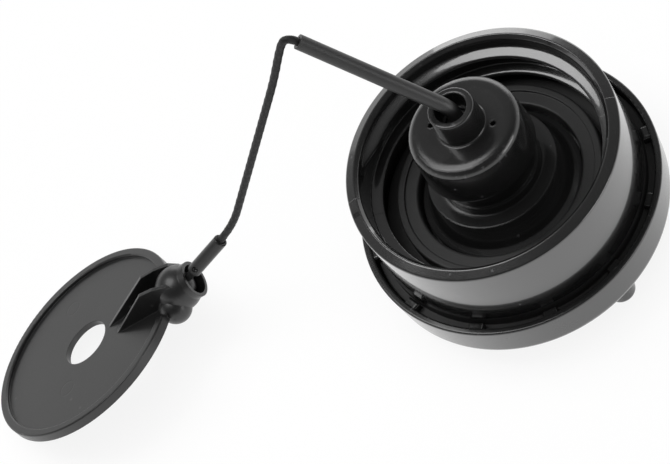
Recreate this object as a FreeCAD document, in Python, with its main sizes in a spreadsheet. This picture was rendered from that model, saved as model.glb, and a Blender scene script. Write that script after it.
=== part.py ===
import FreeCAD, Part
import math
import os
import Sketcher

# Screw fuel cap with a ratcheting cover, a vent plug and a tethered retaining disc.
# Origin: cap axis at the face of the neck gasket. +Z points out of the open end, millimetres.

doc = FreeCAD.newDocument("FuelCap")
sheet = doc.addObject("Spreadsheet::Sheet", "Sizes")

SIZES = [
    # inner cup
    ("rim_z", "18"), ("bore_r", "30.6"), ("cup_wall", "3.4"), ("rim_flare", "0.9"), ("rim_round", "0.6"),
    ("rim_lead", "1.0"), ("floor_top", "-2"), ("floor_low", "-4.5"), ("floor_hole_r", "10.6"),
    ("ring_step", "0.6"), ("flange_top", "-5.4"), ("flange_low", "-7.6"),
    # neck thread
    ("thread_pitch", "7.4"), ("thread_length", "11.4"), ("thread_start", "3.5"), ("thread_turn", "29.2"),
    ("thread_depth", "2.6"), ("thread_root", "3.5"), ("thread_crest", "0.9"), ("thread_bury", "0.3"),
    # ratchet
    ("tooth_count", "24"), ("tooth_depth", "1.3"), ("tooth_turn", "35"), ("tooth_ramp", "7"),
    ("tooth_land", "0.8"), ("tooth_bury", "0.3"), ("hub_flats", "30"), ("hub_fit", "0.03"), ("hub_height", "5.6"),
    ("pawl_ring_r", "19.6"), ("pawl_y", "17.5"), ("pawl_wide", "2"), ("pawl_tip_gap", "0.5"), ("pawl_gap", "0.4"),
    ("pawl_count", "3"),
    # cover
    ("channel", "2.3"), ("lip_wall", "1.8"), ("lip_z", "-2.6"), ("lip_round", "0.5"), ("flange_gap", "0.4"),
    ("cover_low", "-14"), ("cover_draft", "0.8"), ("cover_edge_round", "2.6"), ("cover_ledge", "1.2"),
    ("cover_wall", "2"), ("nub_count", "12"), ("nub_wide", "3.7"), ("nub_room", "0.4"), ("nub_tall", "2.05"),
    ("nub_gap", "0.2"), ("nub_bury", "0.4"), ("nub_round", "0.7"), ("grip_inset", "3.3"), ("grip_wide", "7"),
    ("grip_tall", "8.3"), ("grip_round", "1.5"),
    # gasket
    ("gasket_in_r", "20.6"), ("gasket_room", "0.5"), ("gasket_thick", "2"), ("gasket_seat_wide", "4.3"),
    ("gasket_rib_tall", "4.4"), ("gasket_rib_wide", "1.9"), ("gasket_step", "0.6"), ("gasket_round", "0.5"),
    # vent plug
    ("plug_base_r", "20"), ("plug_base_top", "1.6"), ("flare_low_r", "18.3"), ("flare_low_z", "2.6"),
    ("flare_top_r", "16.1"), ("flare_top_z", "9"), ("collar_r", "12.5"), ("collar_top", "11.4"),
    ("waist_r", "11.6"), ("waist_top", "18"), ("dome_low_r", "14.2"), ("dome_low_z", "18.4"),
    ("dome_top_r", "13.6"), ("dome_top", "29.5"), ("dome_round", "2"), ("nipple_base_r", "5.9"),
    ("nipple_r", "5.5"), ("nipple_top", "37.2"), ("nipple_bore_r", "3.85"), ("nipple_round", "0.4"),
    ("throat_r", "3.1"), ("throat_top", "31.7"), ("throat_low", "31"), ("ball_room", "0.15"),
    ("anchor_r", "3.4"), ("anchor_low", "26"), ("anchor_flat", "31.9"), ("chamber_r", "10"),
    ("chamber_top", "24.5"), ("seat_in_r", "8.9"), ("seat_z", "23.9"), ("vent_r", "0.7"),
    ("vent_pitch_r", "7.7"), ("vent_angle", "-56"),
    # vent valve
    ("seal_r", "9.5"), ("seal_thick", "1"), ("plate_r", "9.3"), ("plate_thick", "1.4"), ("spigot_r", "4.3"),
    ("spigot_tall", "2.4"), ("spring_r", "5.4"), ("spring_wire_r", "0.5"), ("spring_turns", "5"),
    ("retainer_top", "4"), ("retainer_thick", "2"), ("retainer_hole_r", "3"), ("slot_pitch_r", "7"),
    ("slot_r", "1.3"), ("slot_count", "6"),
    # retaining disc, in its own frame with X through the socket
    ("disc_x", "-92.69"), ("disc_y", "71.43"), ("disc_z", "-9.64"), ("disc_yaw", "-34.62"),
    ("disc_pitch", "-15.16"), ("disc_roll", "-16.43"), ("disc_r", "28.7"), ("disc_thick", "1.6"),
    ("disc_hole_r", "6.6"), ("bead_wide", "2.3"), ("bead_tall", "1"), ("bead_gap_angle", "32"),
    ("bead_round", "0.4"), ("rib_thick", "1.1"), ("high_rib_turn", "7.5"), ("high_rib_gap", "1.4"),
    ("low_rib_turn", "1.6"), ("low_rib_gap", "4.7"), ("low_rib_shift", "2.75"),
    ("rib_knee_in", "7.1"), ("rib_knee_z", "6.5"), ("rib_crown_in", "3.2"), ("rib_crown_z", "6.2"),
    ("rib_nose_out", "0.6"), ("rib_nose_z", "5"), ("rib_end_out", "2.6"), ("rib_end_z", "2.9"),
    # ball socket at the edge of the disc
    ("socket_out", "2.67"), ("socket_wall", "1.5"), ("mouth_depth", "5.3"), ("mouth_ring_r", "4.8"),
    ("mouth_r", "3.95"), ("neck_r", "3.7"), ("mouth_over", "0.2"), ("heel_in", "2.6"), ("heel_z", "-2.2"),
    ("heel_r", "4.2"), ("heel_half", "3.4"),
    # ball stud and ferrule, along the ferrule axis from the ball centre
    ("ball_r", "4.4"), ("ball_fit", "0.06"), ("stem_r", "1"), ("stem_fit", "0.05"), ("stem_top", "12.5"),
    ("ferrule_low", "7.6"), ("ferrule_top", "20.9"), ("ferrule_r", "1.75"), ("ferrule_round", "0.3"),
    ("ferrule_tilt", "18.9"), ("ferrule_swing", "-3.3"), ("dimple_z", "9.6"), ("dimple_r", "0.8"),
    ("dimple_turn", "245"), ("cord_bore_depth", "4"), ("cord_room", "0.12"),
    # tether: the fold at the sleeve's end and the run down to the ferrule
    ("cord_r", "1"), ("sleeve_in_r", "1.1"), ("sleeve_out_r", "1.8"), ("bend_z", "37"),
    ("fold_a_x", "-14.05"), ("fold_a_y", "21.82"), ("fold_a_z", "68"),
    ("fold_b_x", "-15.34"), ("fold_b_y", "23.71"), ("fold_b_z", "68.42"),
    ("fold_c_x", "-17.1"), ("fold_c_y", "24.9"), ("fold_c_z", "65.9"),
    ("run_a_x", "-22.07"), ("run_a_y", "27.34"), ("run_a_z", "57.15"),
    ("run_b_x", "-48"), ("run_b_y", "41.7"), ("run_b_z", "15.65"),
]

FORMULAS = [
    ("skirt_r", "=bore_r+cup_wall"), ("rim_in_r", "=bore_r+rim_flare"), ("ring_in_r", "=bore_r+ring_step"),
    ("lip_in_r", "=skirt_r+channel"), ("lip_out_r", "=lip_in_r+lip_wall"), ("flange_r", "=lip_in_r-flange_gap"),
    ("cover_in_r", "=flange_r-cover_ledge"), ("cover_low_r", "=lip_out_r-cover_draft"),
    ("rim_out_r", "=skirt_r-rim_round"), ("rim_edge_z", "=rim_z-rim_round"), ("rim_lead_z", "=rim_z-rim_lead"),
    ("gasket_out_r", "=bore_r-gasket_room"), ("gasket_top", "=floor_top+gasket_thick"),
    ("gasket_seat_r", "=gasket_out_r-gasket_seat_wide"), ("gasket_rib_top", "=gasket_top+gasket_rib_tall"),
    ("gasket_rib_r", "=gasket_seat_r-gasket_rib_wide"), ("gasket_in_top", "=gasket_rib_top-gasket_step"),
    ("thread_crest_r", "=bore_r-thread_depth"), ("thread_bury_r", "=bore_r+thread_bury"),
    ("thread_root_low", "=thread_start-thread_root/2"), ("thread_root_high", "=thread_start+thread_root/2"),
    ("thread_crest_low", "=thread_start-thread_crest/2"), ("thread_crest_high", "=thread_start+thread_crest/2"),
    ("cover_floor", "=cover_low+cover_wall"), ("tooth_tall", "=floor_low-flange_low"),
    ("tooth_root_r", "=ring_in_r+tooth_bury"), ("tooth_tip_r", "=ring_in_r-tooth_depth"),
    ("tooth_foot_x", "=sqrt(ring_in_r*ring_in_r-tooth_ramp*tooth_ramp)"),
    ("tooth_back_x", "=tooth_foot_x+tooth_bury"),
    ("hub_half", "=hub_flats/2"), ("hub_corner", "=hub_flats/sqrt(3)"), ("hub_half_corner", "=hub_corner/2"),
    ("hole_half", "=hub_half+hub_fit"), ("hole_corner", "=hole_half*2/sqrt(3)"),
    ("hole_half_corner", "=hole_corner/2"), ("grip_half_wide", "=grip_wide/2"),
    ("grip_half", "=cover_low_r-grip_inset-grip_half_wide"), ("grip_low", "=cover_low-grip_tall"),
    ("grip_length", "=cover_floor-grip_low"), ("nub_low", "=flange_top+nub_gap"),
    ("nub_in_r", "=skirt_r+nub_room"), ("nub_out_r", "=lip_in_r+nub_bury"), ("nub_half", "=nub_wide/2"),
    ("pawl_low", "=cover_floor"), ("pawl_tall", "=floor_low-cover_floor-pawl_gap"), ("pawl_high_y", "=pawl_y+pawl_wide"),
    ("pawl_tip_r", "=ring_in_r-pawl_tip_gap"),
    ("pawl_reach", "=sqrt(pawl_tip_r*pawl_tip_r-pawl_high_y*pawl_high_y)"),
    ("pocket_r", "=anchor_r+ball_room"), ("anchor_z", "=anchor_low+anchor_r"), ("seal_low", "=seat_z-seal_thick"),
    ("plate_low", "=seal_low-plate_thick"), ("spigot_low", "=plate_low-spigot_tall"),
    ("vent_x", "=vent_pitch_r*cos(vent_angle)"), ("vent_y", "=vent_pitch_r*sin(vent_angle)"),
    ("retainer_low", "=retainer_top-retainer_thick"), ("bead_in_x", "=bead_wide-disc_r"),
    ("bead_out_x", "=-disc_r"), ("disc_low", "=-disc_thick"), ("disc_mid", "=-disc_thick/2"),
    ("bead_angle", "=360-bead_gap_angle"), ("socket_x", "=disc_r+socket_out"), ("cavity_r", "=ball_r+ball_fit"),
    ("socket_r", "=cavity_r+socket_wall"), ("mouth_long", "=socket_r+mouth_over"), ("heel_x", "=socket_x-heel_in"),
    ("heel_long", "=2*heel_half"), ("heel_start", "=-heel_half"), ("high_rib_start", "=disc_hole_r+high_rib_gap"),
    ("low_rib_start", "=disc_hole_r+low_rib_gap"),
    ("rib_knee_x", "=socket_x-rib_knee_in"), ("rib_crown_x", "=socket_x-rib_crown_in"),
    ("rib_nose_x", "=socket_x+rib_nose_out"), ("rib_end_x", "=socket_x+rib_end_out"),
    ("stem_bore_r", "=stem_r+stem_fit"), ("dimple_x", "=ferrule_r*cos(dimple_turn)"),
    ("dimple_y", "=ferrule_r*sin(dimple_turn)"), ("cord_bore_r", "=cord_r+cord_room"),
    ("cord_bore_low", "=ferrule_top-cord_bore_depth"), ("spring_low", "=retainer_top+spring_wire_r"),
    ("spring_height", "=plate_low-retainer_top-2*spring_wire_r"),
]

for row, (alias, text) in enumerate(SIZES + FORMULAS, 1):
    sheet.set("A%d" % row, alias)
    sheet.set("B%d" % row, text)
    sheet.setAlias("B%d" % row, alias)
doc.recompute()


def size(alias):
    """Number held in the named cell; a leading minus turns its sign."""
    if alias.startswith("-"):
        return -float(sheet.get(alias[1:]))
    return float(sheet.get(alias))


def bind(obj, prop, alias):
    """Drive a property by the named cell; a leading minus turns its sign."""
    if alias.startswith("-"):
        obj.setExpression(prop, "-Sizes." + alias[1:])
    else:
        obj.setExpression(prop, "Sizes." + alias)


def origin_item(body, role):
    """Plane or axis of the body's own origin."""
    for item in body.Origin.OriginFeatures:
        if item.Role == role:
            return item
    raise ValueError(role)


def new_body(label):
    """Empty body that will become one node."""
    body = doc.addObject("PartDesign::Body", label)
    body.Label = label
    return body


def new_sketch(body, name, role, offset=None):
    """Sketch on an origin plane, lifted off it by a named cell."""
    sketch = body.newObject("Sketcher::SketchObject", name)
    sketch.AttachmentSupport = (origin_item(body, role), [""])
    sketch.MapMode = "FlatFace"
    if offset:
        bind(sketch, "AttachmentOffset.Base.z", offset)
    return sketch


def pin_vertex(sketch, line, x_alias, y_alias):
    """Place a line's first point by two cells; an empty name lies on the axis."""
    for kind, axis, alias in (("DistanceX", -2, x_alias), ("DistanceY", -1, y_alias)):
        if alias:
            number = sketch.addConstraint(Sketcher.Constraint(kind, -1, 1, line, 1, size(alias)))
            bind(sketch, "Constraints[%d]" % number, alias)
        else:
            sketch.addConstraint(Sketcher.Constraint("PointOnObject", line, 1, axis))


def polygon(sketch, corners):
    """Closed outline through corners named by their cells."""
    points = []
    for x_alias, y_alias in corners:
        x = size(x_alias) if x_alias else 0.0
        y = size(y_alias) if y_alias else 0.0
        points.append(FreeCAD.Vector(x, y, 0))
    count = len(points)
    for i in range(count):
        sketch.addGeometry(Part.LineSegment(points[i], points[(i + 1) % count]), False)
    for i in range(count):
        sketch.addConstraint(Sketcher.Constraint("Coincident", i, 2, (i + 1) % count, 1))
    for i, (x_alias, y_alias) in enumerate(corners):
        pin_vertex(sketch, i, x_alias, y_alias)


def circle(sketch, radius_alias, x_alias="", y_alias=""):
    """Circle with its centre and radius in named cells."""
    x = size(x_alias) if x_alias else 0.0
    y = size(y_alias) if y_alias else 0.0
    ring = sketch.addGeometry(Part.Circle(FreeCAD.Vector(x, y, 0), FreeCAD.Vector(0, 0, 1), size(radius_alias)))
    number = sketch.addConstraint(Sketcher.Constraint("Radius", ring, size(radius_alias)))
    bind(sketch, "Constraints[%d]" % number, radius_alias)
    for kind, axis, alias in (("DistanceX", -2, x_alias), ("DistanceY", -1, y_alias)):
        if alias:
            number = sketch.addConstraint(Sketcher.Constraint(kind, -1, 1, ring, 3, size(alias)))
            bind(sketch, "Constraints[%d]" % number, alias)
        else:
            sketch.addConstraint(Sketcher.Constraint("PointOnObject", ring, 3, axis))


def turned(body, name, corners):
    """Solid of revolution about Z from an (r, z) outline."""
    sketch = new_sketch(body, name + "Outline", "XZ_Plane")
    polygon(sketch, corners)
    feature = body.newObject("PartDesign::Revolution", name)
    feature.Profile = sketch
    feature.ReferenceAxis = (sketch, ["V_Axis"])
    feature.Angle = 360
    body.Tip = feature
    doc.recompute()
    return feature


def pad(body, sketch, name, length_alias, reverse=False, both=False):
    """Extruded sketch."""
    feature = body.newObject("PartDesign::Pad", name)
    feature.Profile = sketch
    bind(feature, "Length", length_alias)
    feature.Reversed = reverse
    feature.Midplane = both
    body.Tip = feature
    doc.recompute()
    return feature


def pocket(body, sketch, name, through=True, reverse=False, length_alias=None):
    """Cut sketch; it must remove material."""
    before = body.Shape.Volume
    feature = body.newObject("PartDesign::Pocket", name)
    feature.Profile = sketch
    if through:
        feature.Type = "ThroughAll"
    else:
        bind(feature, "Length", length_alias)
    feature.Reversed = reverse
    body.Tip = feature
    doc.recompute()
    if body.Shape.Volume > before - 1e-3:
        raise RuntimeError(name + " cuts nothing")
    return feature


def polar(body, original, sketch, name, count_alias):
    """Copies of a feature all round Z."""
    feature = body.newObject("PartDesign::PolarPattern", name)
    feature.Originals = [original]
    feature.Axis = (sketch, ["N_Axis"])
    feature.Angle = 360
    bind(feature, "Occurrences", count_alias)
    body.Tip = feature
    doc.recompute()
    return feature


def ring_edges(shape, radius, z):
    """Names of full or partial circular edges of one radius at one height."""
    names = []
    for i, edge in enumerate(shape.Edges, 1):
        curve = edge.Curve
        if isinstance(curve, Part.Circle) and abs(curve.Radius - radius) < 1e-3:
            if abs(curve.Center.z - z) < 1e-3:
                names.append("Edge%d" % i)
    return names


def flat_edges(shape, z):
    """Names of edges that lie wholly at one height."""
    names = []
    for i, edge in enumerate(shape.Edges, 1):
        box = edge.BoundBox
        if abs(box.ZMin - z) < 1e-3 and abs(box.ZMax - z) < 1e-3:
            names.append("Edge%d" % i)
    return names


def round_off(body, base, name, edges, radius_alias):
    """Rounded edges."""
    if not edges:
        raise RuntimeError(name + " finds no edge")
    feature = body.newObject("PartDesign::Fillet", name)
    feature.Base = (base, edges)
    bind(feature, "Radius", radius_alias)
    body.Tip = feature
    doc.recompute()
    return feature


def post(body, kind, name, role, values):
    """Round solid or cut on an origin plane, its sizes and place in named cells."""
    feature = body.newObject(kind, name)
    feature.AttachmentSupport = (origin_item(body, role), [""])
    feature.MapMode = "FlatFace"
    for prop, alias in values:
        bind(feature, prop, alias)
    body.Tip = feature
    doc.recompute()
    return feature


def hexagon(sketch, corner, half_corner, half):
    """Hexagon with corners on X, from the cells of its corner, half corner and half width."""
    polygon(sketch, [(corner, ""), (half_corner, half), ("-" + half_corner, half), ("-" + corner, ""),
                     ("-" + half_corner, "-" + half), (half_corner, "-" + half)])


def threaded_cup():
    """Inner cup: neck thread inside, retained flange and ratchet teeth at its foot."""
    body = new_body("threaded_cup")
    turned(body, "CupShell", [
        ("floor_hole_r", "floor_low"), ("ring_in_r", "floor_low"), ("ring_in_r", "flange_low"),
        ("flange_r", "flange_low"), ("flange_r", "flange_top"), ("skirt_r", "flange_top"),
        ("skirt_r", "rim_edge_z"), ("rim_out_r", "rim_z"), ("rim_in_r", "rim_z"), ("bore_r", "rim_lead_z"),
        ("bore_r", "floor_top"), ("floor_hole_r", "floor_top")])
    tooth = new_sketch(body, "ToothOutline", "XY_Plane", "flange_low")
    bind(tooth, "AttachmentOffset.Rotation.Angle", "tooth_turn")
    polygon(tooth, [("tooth_root_r", ""), ("tooth_tip_r", ""), ("tooth_tip_r", "-tooth_land"),
                    ("tooth_foot_x", "-tooth_ramp"), ("tooth_back_x", "-tooth_ramp")])
    one_tooth = pad(body, tooth, "RatchetTooth", "tooth_tall")
    polar(body, one_tooth, tooth, "RatchetTeeth", "tooth_count")
    ridge = new_sketch(body, "ThreadRidge", "YZ_Plane")
    turn = FreeCAD.Rotation(FreeCAD.Vector(0, 1, 0), size("thread_turn"))
    ridge.AttachmentOffset = FreeCAD.Placement(FreeCAD.Vector(), turn)
    bind(ridge, "AttachmentOffset.Rotation.Angle", "thread_turn")
    polygon(ridge, [("-thread_bury_r", "thread_root_low"), ("-thread_bury_r", "thread_root_high"),
                    ("-thread_crest_r", "thread_crest_high"), ("-thread_crest_r", "thread_crest_low")])
    helix = body.newObject("PartDesign::AdditiveHelix", "NeckThread")
    helix.Profile = ridge
    helix.ReferenceAxis = (ridge, ["V_Axis"])
    helix.Mode = 0
    bind(helix, "Pitch", "thread_pitch")
    bind(helix, "Height", "thread_length")
    body.Tip = helix
    doc.recompute()
    return body


def outer_cover():
    """Outer cover with its bar grip, the lip, 12 retaining nubs and the hexagonal hub."""
    body = new_body("outer_cover")
    shell = turned(body, "CoverShell", [
        ("", "cover_low"), ("cover_low_r", "cover_low"), ("lip_out_r", "lip_z"), ("lip_in_r", "lip_z"),
        ("lip_in_r", "flange_low"), ("cover_in_r", "flange_low"), ("cover_in_r", "cover_floor"),
        ("", "cover_floor")])
    edge = round_off(body, shell, "CoverEdge", ring_edges(body.Shape, size("cover_low_r"), size("cover_low")),
                     "cover_edge_round")
    lip = ring_edges(body.Shape, size("lip_out_r"), size("lip_z"))
    lip += ring_edges(body.Shape, size("lip_in_r"), size("lip_z"))
    round_off(body, edge, "LipEdge", lip, "lip_round")
    nub = new_sketch(body, "NubOutline", "XY_Plane", "nub_low")
    polygon(nub, [("nub_in_r", "-nub_half"), ("nub_out_r", "-nub_half"), ("nub_out_r", "nub_half"),
                  ("nub_in_r", "nub_half")])
    one_nub = pad(body, nub, "Nub", "nub_tall")
    nubs = polar(body, one_nub, nub, "Nubs", "nub_count")
    top = size("nub_low") + size("nub_tall")
    names = []
    for i, item in enumerate(body.Shape.Edges, 1):
        box = item.BoundBox
        flat = abs(box.ZMin - top) < 1e-3 and abs(box.ZMax - top) < 1e-3
        if flat and isinstance(item.Curve, Part.Line):
            names.append("Edge%d" % i)
    round_off(body, nubs, "NubTops", names, "nub_round")
    hub = new_sketch(body, "HubOutline", "XY_Plane", "cover_floor")
    hexagon(hub, "hub_corner", "hub_half_corner", "hub_half")
    pad(body, hub, "Hub", "hub_height")
    grip = new_sketch(body, "GripOutline", "XY_Plane", "grip_low")
    polygon(grip, [("grip_half_wide", "-grip_half"), ("grip_half_wide", "grip_half"),
                   ("-grip_half_wide", "grip_half"), ("-grip_half_wide", "-grip_half")])
    pad(body, grip, "Grip", "grip_length")
    for name, y_alias in (("GripEndFar", "grip_half"), ("GripEndNear", "-grip_half")):
        bar = post(body, "PartDesign::AdditiveCylinder", name, "XY_Plane", [
            ("Radius", "grip_half_wide"), ("Height", "grip_length"), ("AttachmentOffset.Base.y", y_alias),
            ("AttachmentOffset.Base.z", "grip_low")])
    round_off(body, bar, "GripEdge", flat_edges(body.Shape, size("grip_low")), "grip_round")
    return body


def ratchet_ring():
    """Ring on the cover's hub with three spring pawls that ride on the cup's teeth."""
    body = new_body("ratchet_ring")
    hub = new_sketch(body, "RingOutline", "XY_Plane", "pawl_low")
    circle(hub, "pawl_ring_r")
    pad(body, hub, "Ring", "pawl_tall")
    arm = new_sketch(body, "PawlOutline", "XY_Plane", "pawl_low")
    polygon(arm, [("", "pawl_y"), ("pawl_reach", "pawl_y"), ("pawl_reach", "pawl_high_y"), ("", "pawl_high_y")])
    one_arm = pad(body, arm, "Pawl", "pawl_tall")
    polar(body, one_arm, arm, "Pawls", "pawl_count")
    hole = new_sketch(body, "HubHole", "XY_Plane", "pawl_low")
    hexagon(hole, "hole_corner", "hole_half_corner", "hole_half")
    pocket(body, hole, "HubCut", reverse=True)
    return body


def neck_gasket():
    """Rubber ring on which the filler neck seats, with the raised rib that centres the neck."""
    body = new_body("neck_gasket")
    ring = turned(body, "GasketRing", [
        ("gasket_in_r", "floor_top"), ("gasket_out_r", "floor_top"), ("gasket_out_r", "gasket_top"),
        ("gasket_seat_r", "gasket_top"), ("gasket_seat_r", "gasket_rib_top"), ("gasket_rib_r", "gasket_rib_top"),
        ("gasket_rib_r", "gasket_in_top"), ("gasket_in_r", "gasket_in_top")])
    edges = ring_edges(body.Shape, size("gasket_in_r"), size("gasket_in_top"))
    edges += ring_edges(body.Shape, size("gasket_out_r"), size("gasket_top"))
    edges += ring_edges(body.Shape, size("gasket_seat_r"), size("gasket_rib_top"))
    round_off(body, ring, "GasketEdges", edges, "gasket_round")
    return body


def vent_housing():
    """Stepped vent plug: base flange, flare, collar, waist, dome and tether nipple, hollow inside."""
    body = new_body("vent_housing")
    shell = turned(body, "PlugShell", [
        ("chamber_r", "floor_top"), ("plug_base_r", "floor_top"), ("plug_base_r", "plug_base_top"),
        ("flare_low_r", "flare_low_z"), ("flare_top_r", "flare_top_z"), ("collar_r", "flare_top_z"),
        ("collar_r", "collar_top"), ("waist_r", "collar_top"), ("waist_r", "waist_top"),
        ("dome_low_r", "dome_low_z"), ("dome_top_r", "dome_top"), ("nipple_base_r", "dome_top"),
        ("nipple_r", "nipple_top"), ("nipple_bore_r", "nipple_top"), ("nipple_bore_r", "throat_top"),
        ("throat_r", "throat_top"), ("throat_r", "throat_low"), ("pocket_r", "throat_low"),
        ("pocket_r", "anchor_low"), ("", "anchor_low"), ("", "chamber_top"), ("seat_in_r", "chamber_top"),
        ("seat_in_r", "seat_z"), ("chamber_r", "seat_z")])
    dome = round_off(body, shell, "DomeEdge", ring_edges(body.Shape, size("dome_top_r"), size("dome_top")),
                     "dome_round")
    mouth = ring_edges(body.Shape, size("nipple_r"), size("nipple_top"))
    mouth += ring_edges(body.Shape, size("nipple_bore_r"), size("nipple_top"))
    mouth += ring_edges(body.Shape, size("nipple_base_r"), size("dome_top"))
    round_off(body, dome, "NippleEdges", mouth, "nipple_round")
    vents = new_sketch(body, "VentHoles", "XY_Plane", "chamber_top")
    circle(vents, "vent_r", "vent_x", "vent_y")
    circle(vents, "vent_r", "-vent_x", "-vent_y")
    pocket(body, vents, "VentCut", reverse=True)
    return body


def valve_seal():
    """Rubber disc that closes the vent holes' chamber against the seat."""
    body = new_body("valve_seal")
    outline = new_sketch(body, "SealOutline", "XY_Plane", "seal_low")
    circle(outline, "seal_r")
    pad(body, outline, "Seal", "seal_thick")
    return body


def valve_plate():
    """Plate under the seal, with the spigot that guides the spring."""
    body = new_body("valve_plate")
    turned(body, "Plate", [
        ("", "spigot_low"), ("spigot_r", "spigot_low"), ("spigot_r", "plate_low"), ("plate_r", "plate_low"),
        ("plate_r", "seal_low"), ("", "seal_low")])
    return body


def valve_spring():
    """Coil spring between the retainer and the plate."""
    body = new_body("valve_spring")
    wire = new_sketch(body, "SpringWire", "XZ_Plane")
    circle(wire, "spring_wire_r", "spring_r", "spring_low")
    coil = body.newObject("PartDesign::AdditiveHelix", "Coil")
    coil.Profile = wire
    coil.ReferenceAxis = (wire, ["V_Axis"])
    coil.Mode = 2
    bind(coil, "Turns", "spring_turns")
    bind(coil, "Height", "spring_height")
    body.Tip = coil
    doc.recompute()
    return body


def spring_retainer():
    """Perforated disc pressed into the foot of the vent plug."""
    body = new_body("spring_retainer")
    outline = new_sketch(body, "RetainerOutline", "XY_Plane", "retainer_low")
    circle(outline, "chamber_r")
    circle(outline, "retainer_hole_r")
    pad(body, outline, "Retainer", "retainer_thick")
    hole = new_sketch(body, "SlotOutline", "XY_Plane", "retainer_low")
    circle(hole, "slot_r", "slot_pitch_r")
    one_slot = pocket(body, hole, "Slot", reverse=True)
    polar(body, one_slot, hole, "Slots", "slot_count")
    return body


# Resting place of the disc: centre of its upper face and its turn, then the ball's place in the disc.
DISC_RULE = ("create(<<placement>>; create(<<vector>>; Sizes.disc_x; Sizes.disc_y; Sizes.disc_z); "
             "create(<<rotation>>; Sizes.disc_yaw; Sizes.disc_pitch; Sizes.disc_roll))")
BALL_RULE = (DISC_RULE + " * create(<<placement>>; create(<<vector>>; Sizes.socket_x; 0; 0); "
             "create(<<rotation>>; Sizes.ferrule_swing; 90 - Sizes.ferrule_tilt; 0))")


def ball_at(body, kind, name, radius_alias, x_alias="", y_alias="", z_alias=""):
    """Ball or ball-shaped hollow in the body's own frame."""
    values = [("Radius", radius_alias)]
    for prop, alias in (("x", x_alias), ("y", y_alias), ("z", z_alias)):
        if alias:
            values.append(("AttachmentOffset.Base." + prop, alias))
    return post(body, kind, name, "XY_Plane", values)


def retaining_disc():
    """Disc with raised bead, centre hole, two ribs and the socket of the ball stud."""
    body = new_body("retaining_disc")
    turned(body, "DiscPlate", [
        ("disc_hole_r", "disc_low"), ("disc_r", "disc_low"), ("disc_r", ""), ("disc_hole_r", "")])
    bead = new_sketch(body, "BeadOutline", "XZ_Plane")
    polygon(bead, [("bead_out_x", "disc_mid"), ("bead_in_x", "disc_mid"), ("bead_in_x", "bead_tall"),
                   ("bead_out_x", "bead_tall")])
    ring = body.newObject("PartDesign::Revolution", "Bead")
    ring.Profile = bead
    ring.ReferenceAxis = (bead, ["V_Axis"])
    ring.Midplane = True
    bind(ring, "Angle", "bead_angle")
    body.Tip = ring
    doc.recompute()
    round_off(body, ring, "BeadEdges", flat_edges(body.Shape, size("bead_tall")), "bead_round")
    for label, axis in (("low_rib", -1), ("high_rib", 1)):
        rib = new_sketch(body, label + "_outline", "XZ_Plane", "low_rib_shift" if axis < 0 else None)
        turn = FreeCAD.Rotation(FreeCAD.Vector(0, axis, 0), size(label + "_turn"))
        rib.AttachmentOffset = FreeCAD.Placement(rib.AttachmentOffset.Base, turn)
        bind(rib, "AttachmentOffset.Rotation.Angle", label + "_turn")
        start = label + "_start"
        polygon(rib, [(start, "disc_mid"), ("rib_end_x", "disc_mid"), ("rib_end_x", "rib_end_z"),
                      ("rib_nose_x", "rib_nose_z"), ("rib_crown_x", "rib_crown_z"), ("rib_knee_x", "rib_knee_z"),
                      (start, "")])
        pad(body, rib, label + "_wall", "rib_thick", both=True)
    post(body, "PartDesign::AdditiveSphere", "Socket", "YZ_Plane", [
        ("Radius", "socket_r"), ("AttachmentOffset.Base.z", "socket_x")])
    post(body, "PartDesign::AdditiveCylinder", "MouthRing", "YZ_Plane", [
        ("Radius", "mouth_ring_r"), ("Height", "mouth_depth"), ("AttachmentOffset.Base.z", "socket_x")])
    post(body, "PartDesign::AdditiveCylinder", "Heel", "XZ_Plane", [
        ("Radius", "heel_r"), ("Height", "heel_long"), ("AttachmentOffset.Base.x", "heel_x"),
        ("AttachmentOffset.Base.y", "heel_z"), ("AttachmentOffset.Base.z", "heel_start")])
    for name, reach in (("HeelLow", "heel_half"), ("HeelHigh", "-heel_half")):
        post(body, "PartDesign::AdditiveSphere", name, "XZ_Plane", [
            ("Radius", "heel_r"), ("AttachmentOffset.Base.x", "heel_x"), ("AttachmentOffset.Base.y", "heel_z"),
            ("AttachmentOffset.Base.z", reach)])
    before = body.Shape.Volume
    post(body, "PartDesign::SubtractiveSphere", "Cavity", "YZ_Plane", [
        ("Radius", "cavity_r"), ("AttachmentOffset.Base.z", "socket_x")])
    print("cavity removes", round(before - body.Shape.Volume, 1))
    before = body.Shape.Volume
    post(body, "PartDesign::SubtractiveCone", "Mouth", "YZ_Plane", [
        ("Radius1", "neck_r"), ("Radius2", "mouth_r"), ("Height", "mouth_long"),
        ("AttachmentOffset.Base.z", "socket_x")])
    if body.Shape.Volume > before - 1e-3:
        raise RuntimeError("Mouth cuts nothing")
    body.setExpression("Placement", DISC_RULE)
    doc.recompute()
    return body


def ball_stud():
    """Ball in the disc's socket, with the stem that turns in the ferrule."""
    body = new_body("ball_stud")
    ball_at(body, "PartDesign::AdditiveSphere", "Ball", "ball_r")
    stem = new_sketch(body, "StemOutline", "XY_Plane")
    circle(stem, "stem_r")
    pad(body, stem, "Stem", "stem_top")
    body.setExpression("Placement", BALL_RULE)
    doc.recompute()
    return body


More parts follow.
